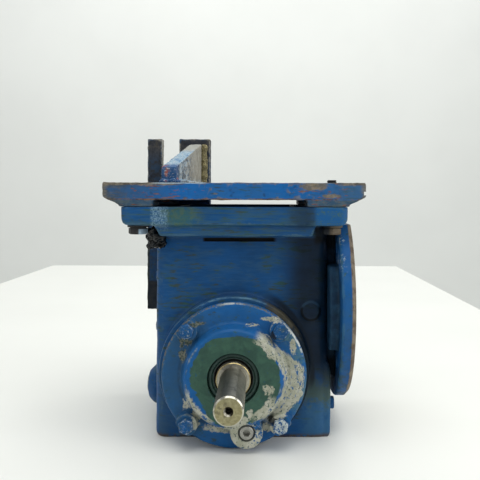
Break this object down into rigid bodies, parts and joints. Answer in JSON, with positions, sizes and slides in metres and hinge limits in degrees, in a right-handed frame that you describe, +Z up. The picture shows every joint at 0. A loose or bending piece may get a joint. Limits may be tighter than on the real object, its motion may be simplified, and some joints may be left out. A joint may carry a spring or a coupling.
{
  "type": "worm gearbox",
  "caption": "Right-angle worm gearbox with a round motor flange, a solid output shaft in a bolted bearing cap, and a bolted foot adapter plate with a slotted fork bracket.",
  "frame": {"origin": "point of the housing's flat bottom face that lies under the output shaft's axis and the worm's axis", "axes": "+Z up through the foot flange, -Y along the output shaft's free end, +X out of the motor flange"},
  "size_m": [0.252, 0.316, 0.315],
  "materials": {
    "blue_paint": "worn brushed enamel over green",
    "plate_paint": "worn enamel over red primer",
    "painted_bolt": "worn enamel",
    "gasket_paper": "matt fibre",
    "plug_steel": "bare, dulled",
    "seal_rubber": "satin",
    "shaft_steel": "ground, lightly stained",
    "bearing_steel": "ground",
    "hub_iron": "as cast",
    "bronze": "machined",
    "dark_steel": "oiled and rusted"
  },
  "bodies": {
    "housing": {"housing": "blue_paint", "foot_flange": "blue_paint", "motor_flange": "blue_paint", "flange_neck": "blue_paint", "front_cap": "blue_paint", "adapter_plate": "plate_paint", "fork_plate": "plate_paint", "gusset": "plate_paint", "worm_end_cover": "blue_paint", "side_plug": "blue_paint", "drain_plug": "blue_paint", "cap_gasket": "gasket_paper", "end_cover_gasket": "gasket_paper", "cap_plug": "plug_steel", "output_seal": "seal_rubber", "input_seal": "seal_rubber", "cap_bolt_1": "painted_bolt", "end_cover_bolt_1": "painted_bolt", "foot_bolt_1": "dark_steel", "foot_washer_1": "dark_steel", "flange_screw_1": "dark_steel", "cap_bolt_2": "painted_bolt", "end_cover_bolt_2": "painted_bolt", "foot_bolt_2": "dark_steel", "foot_washer_2": "dark_steel", "flange_screw_2": "dark_steel", "cap_bolt_3": "painted_bolt", "end_cover_bolt_3": "painted_bolt", "foot_bolt_3": "dark_steel", "foot_washer_3": "dark_steel", "flange_screw_3": "dark_steel", "cap_bolt_4": "painted_bolt", "end_cover_bolt_4": "painted_bolt", "foot_bolt_4": "dark_steel", "foot_washer_4": "dark_steel", "flange_screw_4": "dark_steel", "front_bearing_cup": "bearing_steel", "rear_bearing_cup": "bearing_steel", "worm_inner_bearing_outer_race": "bearing_steel", "worm_outer_bearing_outer_race": "bearing_steel"},
    "output": {"output_shaft": "shaft_steel", "wheel_key": "bearing_steel", "wheel_spacer": "bearing_steel", "wheel_hub": "hub_iron", "wheel_rim": "bronze", "front_bearing_cone": "bearing_steel", "front_bearing_rollers": "bearing_steel", "rear_bearing_cone": "bearing_steel", "rear_bearing_rollers": "bearing_steel"},
    "worm": {"worm_shaft": "shaft_steel", "worm_lock_nut": "dark_steel", "worm_inner_bearing_inner_race": "bearing_steel", "worm_inner_bearing_balls": "bearing_steel", "worm_outer_bearing_inner_race": "bearing_steel", "worm_outer_bearing_balls": "bearing_steel"}
  },
  "joints": [
    {"name": "output_spin", "type": "hinge", "parent": "housing", "child": "output", "pos_m": [0, 0, 0.071], "axis": [0, 1, 0], "continuous": true},
    {"name": "worm_spin", "type": "hinge", "parent": "housing", "child": "worm", "pos_m": [0, 0, 0.132], "axis": [1, 0, 0], "continuous": true}
  ],
  "couplings": [
    {"joint": "worm_spin", "follows": "output_spin", "ratio": -30}
  ]
}
